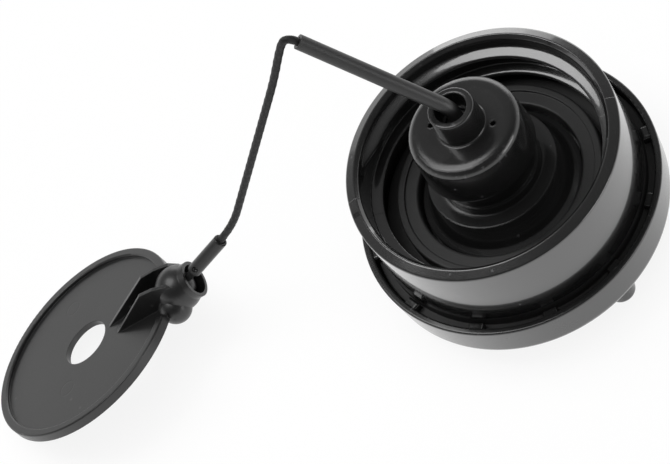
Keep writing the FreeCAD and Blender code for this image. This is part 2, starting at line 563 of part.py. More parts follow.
def tether_ferrule():
    """Crimped tube that holds the cord's end and the stud's stem, with its staking dimple."""
    body = new_body("tether_ferrule")
    tube = turned(body, "Tube", [
        ("stem_bore_r", "ferrule_low"), ("ferrule_r", "ferrule_low"), ("ferrule_r", "ferrule_top"),
        ("cord_bore_r", "ferrule_top"), ("cord_bore_r", "cord_bore_low"), ("", "cord_bore_low"),
        ("", "stem_top"), ("stem_bore_r", "stem_top")])
    edges = ring_edges(body.Shape, size("ferrule_r"), size("ferrule_low"))
    edges += ring_edges(body.Shape, size("ferrule_r"), size("ferrule_top"))
    round_off(body, tube, "TubeEdges", edges, "ferrule_round")
    ball_at(body, "PartDesign::SubtractiveSphere", "Dimple", "dimple_r", "dimple_x", "dimple_y", "dimple_z")
    body.setExpression("Placement", BALL_RULE)
    doc.recompute()
    return body


def tether_anchor():
    """Ball end of the tether, held under the nipple's throat, flat on top."""
    ball = doc.addObject("Part::Sphere", "tether_anchor")
    ball.Label = "tether_anchor"
    bind(ball, "Radius", "anchor_r")
    ball.setExpression("Angle2", "asin((Sizes.anchor_flat - Sizes.anchor_z) / Sizes.anchor_r)")
    bind(ball, "Placement.Base.z", "anchor_z")
    doc.recompute()
    return ball


def place_of(name):
    """Point of the tether held in three cells."""
    return FreeCAD.Vector(size(name + "_x"), size(name + "_y"), size(name + "_z"))


def tether_route(stud):
    """Up the nipple, over its mouth, straight to the fold, then down into the ferrule."""
    mouth = stud.Placement.multVec(FreeCAD.Vector(0, 0, size("ferrule_top")))
    end = stud.Placement.multVec(FreeCAD.Vector(0, 0, size("cord_bore_low")))
    start = [FreeCAD.Vector(0, 0, size("anchor_flat")), FreeCAD.Vector(0, 0, size("bend_z"))]
    names = ("fold_a", "fold_b", "fold_c", "run_a", "run_b")
    return start + [place_of(name) for name in names] + [mouth, end]


def route_wire(points, label):
    """Straight runs joined by tangent arcs as large as the runs allow."""
    edges = []
    start = points[0]
    for i in range(1, len(points) - 1):
        corner = points[i]
        back = points[i - 1] - corner
        ahead = points[i + 1] - corner
        turn = math.pi - back.getAngle(ahead)
        trim = 0.45 * min(back.Length, ahead.Length)
        radius = trim / math.tan(turn / 2)
        print(label, i, "turn", round(math.degrees(turn), 1), "radius", round(radius, 2))
        back.normalize()
        ahead.normalize()
        inward = back + ahead
        inward.normalize()
        first = corner + back * trim
        last = corner + ahead * trim
        middle = corner + inward * (radius / math.cos(turn / 2) - radius)
        edges.append(Part.LineSegment(start, first).toShape())
        edges.append(Part.Arc(first, middle, last).toShape())
        start = last
    edges.append(Part.LineSegment(start, points[-1]).toShape())
    return Part.Wire(edges)


def tube_along(wire, radius):
    """Round solid that follows a wire."""
    start = wire.Edges[0].firstVertex().Point
    heading = wire.Edges[0].tangentAt(wire.Edges[0].FirstParameter)
    section = Part.Wire([Part.makeCircle(radius, start, heading)])
    solid = wire.makePipeShell([section], True, False)
    expected = math.pi * radius ** 2 * wire.Length
    print("tube volume", round(solid.Volume, 2), "section times length", round(expected, 2))
    return solid


def tether_cord(route):
    """Braided cord from the anchor to the ferrule."""
    cord = doc.addObject("Part::Feature", "tether_cord")
    cord.Label = "tether_cord"
    wire = route_wire(route, "cord")
    print("cord length", round(wire.Length, 1))
    cord.Shape = tube_along(wire, size("cord_r"))
    return cord


def tether_sleeve(route):
    """Smooth sleeve over the cord, up to where the fold begins."""
    sleeve = doc.addObject("Part::Feature", "tether_sleeve")
    sleeve.Label = "tether_sleeve"
    run = route[2] - route[1]
    free = 0.45 * (route[3] - route[2]).Length
    end = route[1] + run * ((run.Length - free) / run.Length)
    wire = route_wire([route[0], route[1], end], "sleeve")
    outer = tube_along(wire, size("sleeve_out_r"))
    inner = tube_along(wire, size("sleeve_in_r"))
    sleeve.Shape = outer.cut(inner)
    return sleeve


STUD = ball_stud()
ROUTE = tether_route(STUD)
NODES = [
    threaded_cup(), neck_gasket(), vent_housing(), valve_seal(), valve_plate(), valve_spring(), spring_retainer(),
    outer_cover(), ratchet_ring(), tether_anchor(), tether_sleeve(ROUTE), tether_cord(ROUTE),
    tether_ferrule(), STUD, retaining_disc(),
]
doc.recompute()

for item in doc.Objects:
    if "Invalid" in item.State or "Error" in item.State:
        raise RuntimeError("failed: " + item.Name)
for node in NODES:
    if node.Shape.isNull() or not node.Shape.isValid():
        raise RuntimeError("bad shape: " + node.Label)
    if len(node.Shape.Solids) != 1:
        raise RuntimeError("not one solid: " + node.Label)

os.makedirs("parts", exist_ok=True)
for node in NODES:
    node.Shape.exportStep("parts/%s.step" % node.Label)
    print(node.Label, round(node.Shape.Volume, 1), node.Shape.BoundBox)
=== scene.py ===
import logging
from dataclasses import dataclass, field
from enum import Enum
from typing import Dict, Optional, Sequence, Tuple

import bpy
import numpy as np
from mathutils import Matrix, Vector


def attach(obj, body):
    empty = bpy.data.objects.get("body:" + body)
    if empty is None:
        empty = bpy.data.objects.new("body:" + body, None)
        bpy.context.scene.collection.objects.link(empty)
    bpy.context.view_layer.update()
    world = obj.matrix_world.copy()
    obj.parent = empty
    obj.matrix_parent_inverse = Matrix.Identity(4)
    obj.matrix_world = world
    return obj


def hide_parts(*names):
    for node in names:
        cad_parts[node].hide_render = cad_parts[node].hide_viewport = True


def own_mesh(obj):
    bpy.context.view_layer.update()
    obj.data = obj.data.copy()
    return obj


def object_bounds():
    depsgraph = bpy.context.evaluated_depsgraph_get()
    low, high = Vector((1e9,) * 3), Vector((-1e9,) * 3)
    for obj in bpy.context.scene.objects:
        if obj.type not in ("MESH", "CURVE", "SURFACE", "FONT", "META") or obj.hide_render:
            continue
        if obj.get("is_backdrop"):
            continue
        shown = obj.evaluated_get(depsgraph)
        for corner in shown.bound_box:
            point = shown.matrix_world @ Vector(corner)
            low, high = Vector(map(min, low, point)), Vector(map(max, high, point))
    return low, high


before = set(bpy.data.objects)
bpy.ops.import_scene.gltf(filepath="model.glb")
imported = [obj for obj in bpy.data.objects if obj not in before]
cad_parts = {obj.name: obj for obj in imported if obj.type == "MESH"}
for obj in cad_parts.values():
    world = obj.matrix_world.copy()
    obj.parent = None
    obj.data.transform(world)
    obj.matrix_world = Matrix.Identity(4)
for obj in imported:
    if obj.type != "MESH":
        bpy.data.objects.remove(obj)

LOG = logging.getLogger("fuel_cap")
MM = 0.001
Point = Tuple[float, float, float]
Colour = Tuple[float, float, float, float]
Socket = bpy.types.NodeSocket

WHITE: Colour = (1.0, 1.0, 1.0, 1.0)
GRAIN_DETAIL = 3.0
WEAR_DETAIL = 4.0
WEAR_BLUR = 0.06
RECESS_FADE = 0.0006
SCRATCH_TURNS: Sequence[Point] = ((0.4, 0.3, 0.7), (1.1, 0.2, 2.3))
SCRATCH_STRETCH = 30.0
SCRATCH_DOT = 0.16
YARN_ATTRIBUTE = "yarn"
FLOOR_GAP = 0.0001


class Body(Enum):
    """Bodies of the cap that the new pieces ride on."""

    CUP = "cup"
    TETHER = "tether"


class Effect(Enum):
    """Surface effects that several finishes share."""

    GRAIN = "moulded_grain"
    SPECKS = "dust_specks"
    SCRATCHES = "hair_scratches"
    SEAM = "parting_line"
    PIN_MARK = "pin_mark"
    EDGE_WEAR = "edge_wear"
    RECESS = "dull_recess"
    CROWN = "crowned_top"


def unit(vector: np.ndarray) -> np.ndarray:
    """Return the vector, or each row of it, at length one."""
    return vector / np.linalg.norm(vector, axis=-1, keepdims=True)


def grey(level: float, warm: float = 0.0) -> Colour:
    """Grey of one level, a little warmer or cooler."""
    return (level * (1.0 + warm), level, level * (1.0 - warm), 1.0)


def socket(node: bpy.types.Node, name: str, inputs: bool = True) -> Socket:
    """Find an enabled socket of a node by name.

    Args:
        node: Node that owns the socket.
        name: Name shown on the socket.
        inputs: True for an input, False for an output.

    Returns:
        The first enabled socket with that name.
    """
    for item in (node.inputs if inputs else node.outputs):
        if item.name == name and item.enabled:
            return item
    raise KeyError(name)


@dataclass
class Wiring:
    """Small helper that places and links nodes in one tree."""

    tree: bpy.types.NodeTree

    def add(self, kind: str, **values: object) -> bpy.types.Node:
        """Place a node and set its properties.

        Args:
            kind: Blender's name of the node type.
            values: Properties set on the node.

        Returns:
            The new node.
        """
        node = self.tree.nodes.new(kind)
        for key, value in values.items():
            setattr(node, key, value)
        return node

    def feed(self, source: object, target: Socket) -> None:
        """Join an output to an input, or set the input to a value.

        Args:
            source: Output socket, or the value.
            target: Input socket.
        """
        if isinstance(source, bpy.types.NodeSocket):
            self.tree.links.new(source, target)
        else:
            target.default_value = source

    def ramp(self, source: Socket, low: object, high: object, to_low: object = 0.0, to_high: object = 1.0
             ) -> Socket:
        """Map a value from one range to another, clamped.

        Args:
            source: Value to map.
            low: Start of the source range, a socket or a number.
            high: End of the source range.
            to_low: Result at the start.
            to_high: Result at the end.

        Returns:
            The mapped value.
        """
        node = self.add("ShaderNodeMapRange")
        self.feed(source, socket(node, "Value"))
        ends = (("From Min", low), ("From Max", high), ("To Min", to_low), ("To Max", to_high))
        for name, value in ends:
            self.feed(value, socket(node, name))
        return socket(node, "Result", False)

    def math(self, operation: str, first: object, second: object = 0.0) -> Socket:
        """Combine two values.

        Args:
            operation: Name of the arithmetic.
            first: First value, a socket or a number.
            second: Second value, a socket or a number.

        Returns:
            The result.
        """
        node = self.add("ShaderNodeMath", operation=operation)
        self.feed(first, node.inputs[0])
        self.feed(second, node.inputs[1])
        return node.outputs[0]

    def blend(self, factor: Socket, first: object, second: object) -> Socket:
        """Mix two colours.

        Args:
            factor: Share of the second colour.
            first: First colour, a socket or four numbers.
            second: Second colour, a socket or four numbers.

        Returns:
            The mixed colour.
        """
        node = self.add("ShaderNodeMix", data_type="RGBA")
        self.feed(factor, socket(node, "Factor"))
        self.feed(first, socket(node, "A"))
        self.feed(second, socket(node, "B"))
        return socket(node, "Result", False)

    def cells(self, place: Socket, scale: object, share: object, dot: object) -> Socket:
        """Dots in the cells of a Voronoi pattern, each cell kept or left at random.

        Args:
            place: Coordinates.
            scale: Cells to the metre.
            share: Share of the cells that keep their dot.
            dot: Radius of a dot in cells.

        Returns:
            Mask of the dots.
        """
        node = self.add("ShaderNodeTexVoronoi")
        self.feed(place, node.inputs["Vector"])
        self.feed(scale, node.inputs["Scale"])
        lot = self.add("ShaderNodeSeparateColor")
        self.feed(node.outputs["Color"], lot.inputs[0])
        kept = self.math("LESS_THAN", lot.outputs[0], share)
        return self.math("MULTIPLY", kept, self.ramp(node.outputs["Distance"], 0.0, dot, 1.0, 0.0))

    def from_axis(self, split: bpy.types.Node) -> Socket:
        """Distance from the Z axis of a place split into its coordinates."""
        squares = [self.math("MULTIPLY", split.outputs[axis], split.outputs[axis]) for axis in (0, 1)]
        return self.math("SQRT", self.math("ADD", squares[0], squares[1]))

    def noise(self, place: Socket, scale: object, detail: float) -> Socket:
        """Noise value at a place.

        Args:
            place: Coordinates.
            scale: Periods to the metre.
            detail: How many finer layers the noise has.

        Returns:
            The value, about 0.5 on the whole.
        """
        node = self.add("ShaderNodeTexNoise")
        self.feed(place, node.inputs["Vector"])
        self.feed(scale, node.inputs["Scale"])
        node.inputs["Detail"].default_value = detail
        return node.outputs["Fac"]


def new_group(kind: Effect, inputs: Sequence[Tuple[str, object]], outputs: Sequence[str]
              ) -> Tuple[Wiring, bpy.types.Node, bpy.types.Node]:
    """Start a shared effect that reads a place on the surface.

    Args:
        kind: Which effect it is.
        inputs: Names and defaults of its inputs, numbers or vectors.
        outputs: Names of its number outputs.

    Returns:
        The wiring of the group, its input node and its output node.
    """
    tree = bpy.data.node_groups.new(kind.value, "ShaderNodeTree")
    tree.interface.new_socket("Place", in_out="INPUT", socket_type="NodeSocketVector")
    for name, value in inputs:
        sort = "NodeSocketFloat" if isinstance(value, float) else "NodeSocketVector"
        tree.interface.new_socket(name, in_out="INPUT", socket_type=sort).default_value = value
    for name in outputs:
        tree.interface.new_socket(name, in_out="OUTPUT", socket_type="NodeSocketFloat")
    wiring = Wiring(tree)
    return wiring, wiring.add("NodeGroupInput"), wiring.add("NodeGroupOutput")


def build_grain() -> None:
    """Moulded grain: fine noise as height, coarse noise as slow variation."""
    wiring, start, end = new_group(Effect.GRAIN, (("Scale", 900.0), ("Slow Scale", 45.0)),
                                   ("Height", "Variation"))
    for scale, result in (("Scale", "Height"), ("Slow Scale", "Variation")):
        value = wiring.noise(start.outputs["Place"], start.outputs[scale], GRAIN_DETAIL)
        wiring.feed(value, end.inputs[result])


def build_specks() -> None:
    """Dust specks: small dots in a few of the cells of a Voronoi pattern."""
    wiring, start, end = new_group(Effect.SPECKS, (("Scale", 260.0), ("Share", 0.1), ("Dot", 0.2)),
                                   ("Mask",))
    dots = wiring.cells(*(start.outputs[name] for name in ("Place", "Scale", "Share", "Dot")))
    wiring.feed(dots, end.inputs["Mask"])


def build_scratches() -> None:
    """Hair scratches: dots of a Voronoi pattern drawn out long and thin in two directions."""
    wiring, start, end = new_group(Effect.SCRATCHES, (("Scale", 1800.0), ("Share", 0.01)), ("Mask",))
    lines = []
    for turn in SCRATCH_TURNS:
        mapping = wiring.add("ShaderNodeMapping", vector_type="TEXTURE")
        mapping.inputs["Rotation"].default_value = turn
        mapping.inputs["Scale"].default_value = (1.0, 1.0, SCRATCH_STRETCH)
        wiring.feed(start.outputs["Place"], mapping.inputs["Vector"])
        lines.append(wiring.cells(mapping.outputs[0], start.outputs["Scale"], start.outputs["Share"],
                                  SCRATCH_DOT))
    wiring.feed(wiring.math("MAXIMUM", *lines), end.inputs["Mask"])


def build_seam() -> None:
    """Parting line: a thin line where the half plane at an angle about Z meets the surface."""
    wiring, start, end = new_group(Effect.SEAM, (("Angle", 0.0), ("Width", 0.0002)), ("Mask",))
    turn = wiring.add("ShaderNodeVectorRotate", rotation_type="Z_AXIS", invert=True)
    wiring.feed(start.outputs["Place"], turn.inputs["Vector"])
    wiring.feed(start.outputs["Angle"], turn.inputs["Angle"])
    split = wiring.add("ShaderNodeSeparateXYZ")
    wiring.feed(turn.outputs[0], split.inputs[0])
    near = wiring.ramp(wiring.math("ABSOLUTE", split.outputs[1]), 0.0, start.outputs["Width"], 1.0, 0.0)
    ahead = wiring.math("GREATER_THAN", split.outputs[0])
    wiring.feed(wiring.math("MULTIPLY", near, ahead), end.inputs["Mask"])


def build_pin_mark() -> None:
    """Pin mark: a fine ring at one distance from a point."""
    wiring, start, end = new_group(Effect.PIN_MARK, (("Centre", (0.0, 0.0, 0.0)), ("Radius", 0.002),
                                                     ("Width", 0.0002)), ("Mask",))
    away = wiring.add("ShaderNodeVectorMath", operation="DISTANCE")
    wiring.feed(start.outputs["Place"], away.inputs[0])
    wiring.feed(start.outputs["Centre"], away.inputs[1])
    off = wiring.math("ABSOLUTE", wiring.math("SUBTRACT", away.outputs["Value"], start.outputs["Radius"]))
    wiring.feed(wiring.ramp(off, 0.0, start.outputs["Width"], 1.0, 0.0), end.inputs["Mask"])


def build_edge_wear() -> None:
    """Edge wear: broken patches of noise that keep to a band about one height."""
    wiring, start, end = new_group(Effect.EDGE_WEAR, (("Level", 0.018), ("Band", 0.0008), ("Scale", 500.0),
                                                      ("Share", 0.4)), ("Mask",))
    split = wiring.add("ShaderNodeSeparateXYZ")
    wiring.feed(start.outputs["Place"], split.inputs[0])
    off = wiring.math("ABSOLUTE", wiring.math("SUBTRACT", split.outputs[2], start.outputs["Level"]))
    near = wiring.ramp(off, 0.0, start.outputs["Band"], 1.0, 0.0)
    edge = wiring.math("SUBTRACT", 1.0, start.outputs["Share"])
    patch = wiring.noise(start.outputs["Place"], start.outputs["Scale"], WEAR_DETAIL)
    broken = wiring.ramp(patch, edge, wiring.math("ADD", edge, WEAR_BLUR))
    wiring.feed(wiring.math("MULTIPLY", near, broken), end.inputs["Mask"])


def build_recess() -> None:
    """Dull recess: a band of heights between two radii about Z, where the mould was never polished."""
    wiring, start, end = new_group(Effect.RECESS, (("Top", 0.0), ("Depth", 0.0042), ("Inner", 0.0),
                                                   ("Outer", 0.1)), ("Mask",))
    split = wiring.add("ShaderNodeSeparateXYZ")
    wiring.feed(start.outputs["Place"], split.inputs[0])
    away = wiring.from_axis(split)
    between = wiring.math("MULTIPLY", wiring.math("GREATER_THAN", away, start.outputs["Inner"]),
                          wiring.math("LESS_THAN", away, start.outputs["Outer"]))
    under = wiring.math("SUBTRACT", start.outputs["Top"], split.outputs[2])
    between = wiring.math("MULTIPLY", between, wiring.math("LESS_THAN", under, start.outputs["Depth"]))
    faded = wiring.ramp(under, 0.0, RECESS_FADE)
    wiring.feed(wiring.math("MULTIPLY", between, faded), end.inputs["Mask"])


def build_crown() -> None:
    """Crowned top: a smooth fall from one radius about Z to another, as a mask of depth."""
    wiring, start, end = new_group(Effect.CROWN, (("Inner", 0.0), ("Outer", 0.01)), ("Mask",))
    split = wiring.add("ShaderNodeSeparateXYZ")
    wiring.feed(start.outputs["Place"], split.inputs[0])
    fall = wiring.ramp(wiring.from_axis(split), start.outputs["Inner"], start.outputs["Outer"])
    fall.node.interpolation_type = "SMOOTHSTEP"
    wiring.feed(fall, end.inputs["Mask"])


@dataclass(frozen=True)
class Mark:
    """One use of a shared effect: its values and how far it lifts the surface, in millimetres."""

    kind: Effect
    values: Tuple[Tuple[str, object], ...]
    lift: float = 0.0

    def place(self, wiring: Wiring, place: Socket) -> bpy.types.Node:
        """Put the effect into a material.

        Args:
            wiring: Wiring of the material.
            place: Coordinates that the effect reads.

        Returns:
            The group node.
        """
        node = wiring.add("ShaderNodeGroup", node_tree=bpy.data.node_groups[self.kind.value])
        wiring.feed(place, node.inputs["Place"])
        for key, value in self.values:
            node.inputs[key].default_value = value
        return node

    def mask(self, wiring: Wiring, place: Socket) -> Socket:
        """Put the effect into a material and return its mask."""
        return self.place(wiring, place).outputs["Mask"]


@dataclass(frozen=True)
class Finish:
    """A procedural finish: grain and slow variation, specks, scratches, worn edges and mould marks.

    A recess stays duller than the rest, and painted shade darkens the colour towards a point. The spans are
    the stretches of noise or mask over which colour and roughness run from one value to the other.
    """

    name: str
    dark: Colour
    light: Colour
    rough: Tuple[float, float] = (0.3, 0.42)
    grain_scale: float = 900.0
    slow_scale: float = 45.0
    grain_mm: float = 0.002
    slow_mm: float = 0.0
    edge_mm: float = 0.35
    edge_samples: int = 6
    speck_share: float = 0.05
    speck_scale: float = 330.0
    scratch_share: float = 0.004
    worn: Colour = (0.12, 0.12, 0.125, 1.0)
    worn_share: float = 0.5
    metallic: float = 0.0
    specular: float = 0.5
    coat: float = 0.0
    coat_rough: float = 0.1
    coat_ior: float = 1.5
    sheen: float = 0.0
    drawn_along: Optional[Point] = None
    drawn_out: float = 60.0
    slow_span: Tuple[float, float] = (0.3, 0.7)
    rough_span: Tuple[float, float] = (0.32, 0.68)
    fine_share: float = 0.4
    mark_rough: float = 0.1
    wear: Tuple[Mark, ...] = ()
    reliefs: Tuple[Mark, ...] = ()
    recess: Optional[Mark] = None
    recess_rough: float = 0.45
    # painted shade: a mask about a point that darkens the colour, standing in for shade that falls there
    painted_shade: Optional[Mark] = None
    shade_span: float = 0.4
    shade_share: float = 0.75
    shade_colour: Colour = grey(0.002)

    def base(self) -> Tuple[bpy.types.Material, Wiring, bpy.types.Node, Socket]:
        """Start the material with its uniform values.

        Returns:
            The material, its wiring, its shader and its Object coordinates.
        """
        material = bpy.data.materials.new(self.name)
        material.use_nodes = True
        wiring = Wiring(material.node_tree)
        shader = material.node_tree.nodes["Principled BSDF"]
        shader.inputs["Metallic"].default_value = self.metallic
        shader.inputs["Specular IOR Level"].default_value = self.specular
        shader.inputs["Coat Weight"].default_value = self.coat
        shader.inputs["Coat Roughness"].default_value = self.coat_rough
        shader.inputs["Coat IOR"].default_value = self.coat_ior
        shader.inputs["Sheen Weight"].default_value = self.sheen
        material.diffuse_color = self.dark
        return material, wiring, shader, wiring.add("ShaderNodeTexCoord").outputs["Object"]

    def grain(self, wiring: Wiring, place: Socket) -> bpy.types.Node:
        """Place the grain, drawn out along the piece where the finish says so.

        Args:
            wiring: Wiring of the material.
            place: Object coordinates.

        Returns:
            The group node of the grain.
        """
        if self.drawn_along:
            mapping = wiring.add("ShaderNodeMapping", vector_type="TEXTURE")
            turn = Vector(self.drawn_along).to_track_quat("Z", "Y")
            mapping.inputs["Rotation"].default_value = turn.to_euler()
            mapping.inputs["Scale"].default_value = (1.0, 1.0, self.drawn_out)
            wiring.feed(place, mapping.inputs["Vector"])
            place = mapping.outputs[0]
        scales = (("Scale", self.grain_scale), ("Slow Scale", self.slow_scale))
        return Mark(Effect.GRAIN, scales).place(wiring, place)

    def marks(self, wiring: Wiring, place: Socket) -> Socket:
        """Place specks, scratches and worn edges.

        Args:
            wiring: Wiring of the material.
            place: Object coordinates.

        Returns:
            One mask of them all.
        """
        specks = Mark(Effect.SPECKS, (("Scale", self.speck_scale), ("Share", self.speck_share)))
        scratches = Mark(Effect.SCRATCHES, (("Share", self.scratch_share),))
        mask = specks.mask(wiring, place)
        for mark in (scratches, *self.wear):
            mask = wiring.math("MAXIMUM", mask, mark.mask(wiring, place))
        return mask

    def surface(self, wiring: Wiring, shader: bpy.types.Node, height: Socket) -> None:
        """Join the height, in millimetres, and the softened edges to the shader's normal.

        Args:
            wiring: Wiring of the material.
            shader: The material's shader.
            height: Height of the surface detail.
        """
        bump = wiring.add("ShaderNodeBump")
        bump.inputs["Distance"].default_value = MM
        wiring.feed(height, bump.inputs["Height"])
        if self.edge_mm:
            edge = wiring.add("ShaderNodeBevel", samples=self.edge_samples)
            edge.inputs["Radius"].default_value = self.edge_mm * MM
            wiring.feed(edge.outputs[0], bump.inputs["Normal"])
        wiring.feed(bump.outputs["Normal"], shader.inputs["Normal"])

    def build(self) -> bpy.types.Material:
        """Make the material.

        Returns:
            The finished material.
        """
        material, wiring, shader, place = self.base()
        grain = self.grain(wiring, place)
        fine, slow = grain.outputs["Height"], grain.outputs["Variation"]
        marks = self.marks(wiring, place)
        colour = wiring.blend(wiring.ramp(slow, *self.slow_span), self.dark, self.light)
        # Painted shade: the colour darkens towards the mask's point, standing in for shade; roughness is not
        # changed.
        if self.painted_shade:
            spot = self.painted_shade.mask(wiring, place)
            darker = wiring.ramp(spot, 0.0, self.shade_span, 0.0, self.shade_share)
            colour = wiring.blend(darker, colour, self.shade_colour)
        share = wiring.math("MULTIPLY", marks, self.worn_share)
        wiring.feed(wiring.blend(share, colour, self.worn), shader.inputs["Base Color"])
        mixed = wiring.math("ADD", wiring.math("MULTIPLY", fine, self.fine_share),
                            wiring.math("MULTIPLY", slow, 1.0 - self.fine_share))
        rough = wiring.ramp(mixed, *self.rough_span, *self.rough)
        rough = wiring.math("ADD", rough, wiring.math("MULTIPLY", marks, self.mark_rough))
        if self.recess:
            dull = self.recess.mask(wiring, place)
            rough = wiring.math("ADD", rough, wiring.math("MULTIPLY", dull, self.recess_rough))
            wiring.feed(wiring.ramp(dull, 0.0, 1.0, self.coat, 0.0), shader.inputs["Coat Weight"])
        wiring.feed(rough, shader.inputs["Roughness"])
        height = wiring.math("ADD", wiring.math("MULTIPLY", fine, self.grain_mm),
                             wiring.math("MULTIPLY", slow, self.slow_mm))
        for mark in self.reliefs:
            raised = wiring.math("MULTIPLY", mark.mask(wiring, place), mark.lift)
            height = wiring.math("ADD", height, raised)
        self.surface(wiring, shader, height)
        return material


@dataclass(frozen=True)
class BraidFinish(Finish):
    """Yarn of the braided cord, with painted shade in the furrows that the mesh carries as an attribute."""

    furrow_shade_level: float = 0.1
    fibre_span: Tuple[float, float] = (0.3, 0.6)
    fibre_dark: float = 0.5

    def build(self) -> bpy.types.Material:
        """Make the material.

        Returns:
            The finished material.
        """
        material, wiring, shader, place = self.base()
        fine = self.grain(wiring, place).outputs["Height"]
        yarn = wiring.add("ShaderNodeAttribute", attribute_name=YARN_ATTRIBUTE).outputs["Fac"]
        fibre = wiring.ramp(fine, *self.fibre_span, self.fibre_dark, 1.0)
        # Painted shade: colour runs dark in the furrows between strands and light on their crests, times the
        # fibre's own tone.
        lift = wiring.math("MULTIPLY", wiring.ramp(yarn, self.furrow_shade_level, 1.0), fibre)
        wiring.feed(wiring.blend(lift, self.dark, self.light), shader.inputs["Base Color"])
        wiring.feed(wiring.ramp(fine, *self.slow_span, *self.rough), shader.inputs["Roughness"])
        self.surface(wiring, shader, wiring.math("MULTIPLY", fine, self.grain_mm))
        return material


def seams(width: float, lift: float, turns: Sequence[float]) -> Tuple[Mark, ...]:
    """Parting lines of one width and lift, at turns about Z in degrees."""
    angles = np.radians(turns)
    return tuple(Mark(Effect.SEAM, (("Angle", angle), ("Width", width)), lift) for angle in angles)


RIM_WEAR = Mark(Effect.EDGE_WEAR, (("Level", 0.0177), ("Band", 0.0007), ("Share", 0.31)))
LIP_WEAR = Mark(Effect.EDGE_WEAR, (("Level", -0.0026), ("Band", 0.0005), ("Share", 0.33)))
DOME_WEAR = Mark(Effect.EDGE_WEAR, (("Level", 0.028), ("Band", 0.0016), ("Scale", 700.0), ("Share", 0.38)))
DOME_CROWN = Mark(Effect.CROWN, (("Inner", 0.0102), ("Outer", 0.0138)), lift=-0.5)
CUP_SEAMS = seams(width=0.00018, lift=0.05, turns=(-33.0, 147.0))
COVER_SEAMS = seams(width=0.0002, lift=0.04, turns=(-90.0, 90.0))
CUP_RECESS = Mark(Effect.RECESS, (("Top", -0.0022), ("Depth", 0.01), ("Inner", 0.0338), ("Outer", 0.05)))
COVER_RECESS = Mark(Effect.RECESS, (("Top", -0.0038), ("Inner", 0.02), ("Outer", 0.0369)))
DISC_PINS = tuple(
    Mark(Effect.PIN_MARK, (("Centre", centre), ("Radius", 0.0022), ("Width", 0.0003)), lift=-0.03)
    for centre in ((-0.0835, 0.0625, -0.0058), (-0.1045, 0.0640, -0.0072), (-0.0880, 0.0870, -0.0157)))
# Painted shade round the disc's socket and ribs: the colour darkens towards the socket's centre.
SOCKET_PAINTED_SHADE = Mark(Effect.PIN_MARK, (("Centre", (-0.0678, 0.0542, -0.0014)), ("Radius", 0.0),
                                       ("Width", 0.02)))

GLOSS_COVER = Finish(
    "gloss_black_cover", grey(0.008), grey(0.012), rough=(0.2, 0.3), specular=0.5, coat=0.6, coat_rough=0.1,
    grain_mm=0.0012, slow_mm=0.02, edge_mm=0.45, wear=(LIP_WEAR,), reliefs=COVER_SEAMS, recess=COVER_RECESS)
GLOSS_CUP = Finish(
    "gloss_black_cup", grey(0.008), grey(0.011), rough=(0.17, 0.25), specular=0.8, coat=1.0, coat_rough=0.05,
    coat_ior=1.55, grain_mm=0.0009, slow_mm=0.02, edge_mm=0.3, wear=(RIM_WEAR,), reliefs=CUP_SEAMS,
    recess=CUP_RECESS)
PLUG_MOULDING = Finish(
    "sandy_black_plug", grey(0.008), grey(0.014), rough=(0.17, 0.27), specular=0.6, coat=0.5, coat_rough=0.08,
    grain_scale=1300.0, grain_mm=0.011, edge_mm=0.7, speck_share=0.12, wear=(DOME_WEAR,),
    reliefs=(DOME_CROWN,))
SOFT_RUBBER = Finish(
    "soft_rubber", grey(0.009), grey(0.014), rough=(0.4, 0.55), grain_scale=700.0, grain_mm=0.006,
    edge_mm=0.4)
SATIN_SLEEVE = Finish(
    "satin_sleeve", grey(0.018), grey(0.024), rough=(0.34, 0.44), specular=0.6, grain_scale=1500.0,
    grain_mm=0.004, edge_mm=0.2, speck_share=0.02)
CORD_BRAID = BraidFinish(
    "cord_braid", grey(0.003), grey(0.015), rough=(0.5, 0.7), specular=0.4, sheen=0.1, grain_scale=3500.0,
    grain_mm=0.01, edge_mm=0.0)
DARK_FERRULE = Finish(
    "satin_dark_ferrule", grey(0.008), grey(0.016), rough=(0.24, 0.4), specular=0.5, grain_scale=2600.0,
    grain_mm=0.006, edge_mm=0.2, drawn_along=(0.70242, -0.43708, 0.56175))
MATTE_DISC = Finish(
    "matte_black_disc", grey(0.008), grey(0.013), rough=(0.36, 0.46), specular=0.7, coat=0.2, coat_rough=0.18,
    grain_scale=2200.0, grain_mm=0.006, edge_mm=0.3, speck_share=0.06, scratch_share=0.006, worn=grey(0.14),
    reliefs=DISC_PINS, painted_shade=SOCKET_PAINTED_SHADE)
STUD_STEEL = Finish(
    "dull_stud", grey(0.06), grey(0.1), rough=(0.3, 0.42), metallic=0.8, grain_scale=1800.0)
SPRING_STEEL = Finish(
    "spring_steel", grey(0.4), grey(0.5), rough=(0.22, 0.34), metallic=1.0, grain_scale=2200.0, edge_mm=0.0)
NATURAL_ACETAL = Finish(
    "natural_acetal", grey(0.55, 0.03), grey(0.62, 0.03), rough=(0.35, 0.48), worn=grey(0.4))


@dataclass(frozen=True)
class PhotoCamera:
    """Camera at the photograph's viewing angle."""

    place: Point = (-0.10602, -0.346775, 0.504461)
    right: Point = (0.660, -0.645, -0.385)
    look: Point = (0.115, 0.593, -0.797)
    focal_pixels: float = 2600.0
    frame_pixels: float = 670.0
    sensor: float = 36.0
    nearest: float = 0.01

    def build(self) -> bpy.types.Object:
        """Make the camera and put it in the scene.

        Returns:
            The camera object.
        """
        look = unit(np.array(self.look))
        right = np.array(self.right)
        right = unit(right - look * (right @ look))
        data = bpy.data.cameras.new("photo_camera")
        data.sensor_width = self.sensor
        data.lens = self.focal_pixels / self.frame_pixels * self.sensor
        data.clip_start = self.nearest
        camera = bpy.data.objects.new("photo_camera", data)
        place = np.eye(4)
        place[:3] = np.stack([right, np.cross(right, look), -look, np.array(self.place)], -1)
        camera.matrix_world = Matrix(place.tolist())
        bpy.context.scene.collection.objects.link(camera)
        bpy.context.scene.camera = camera
        return camera


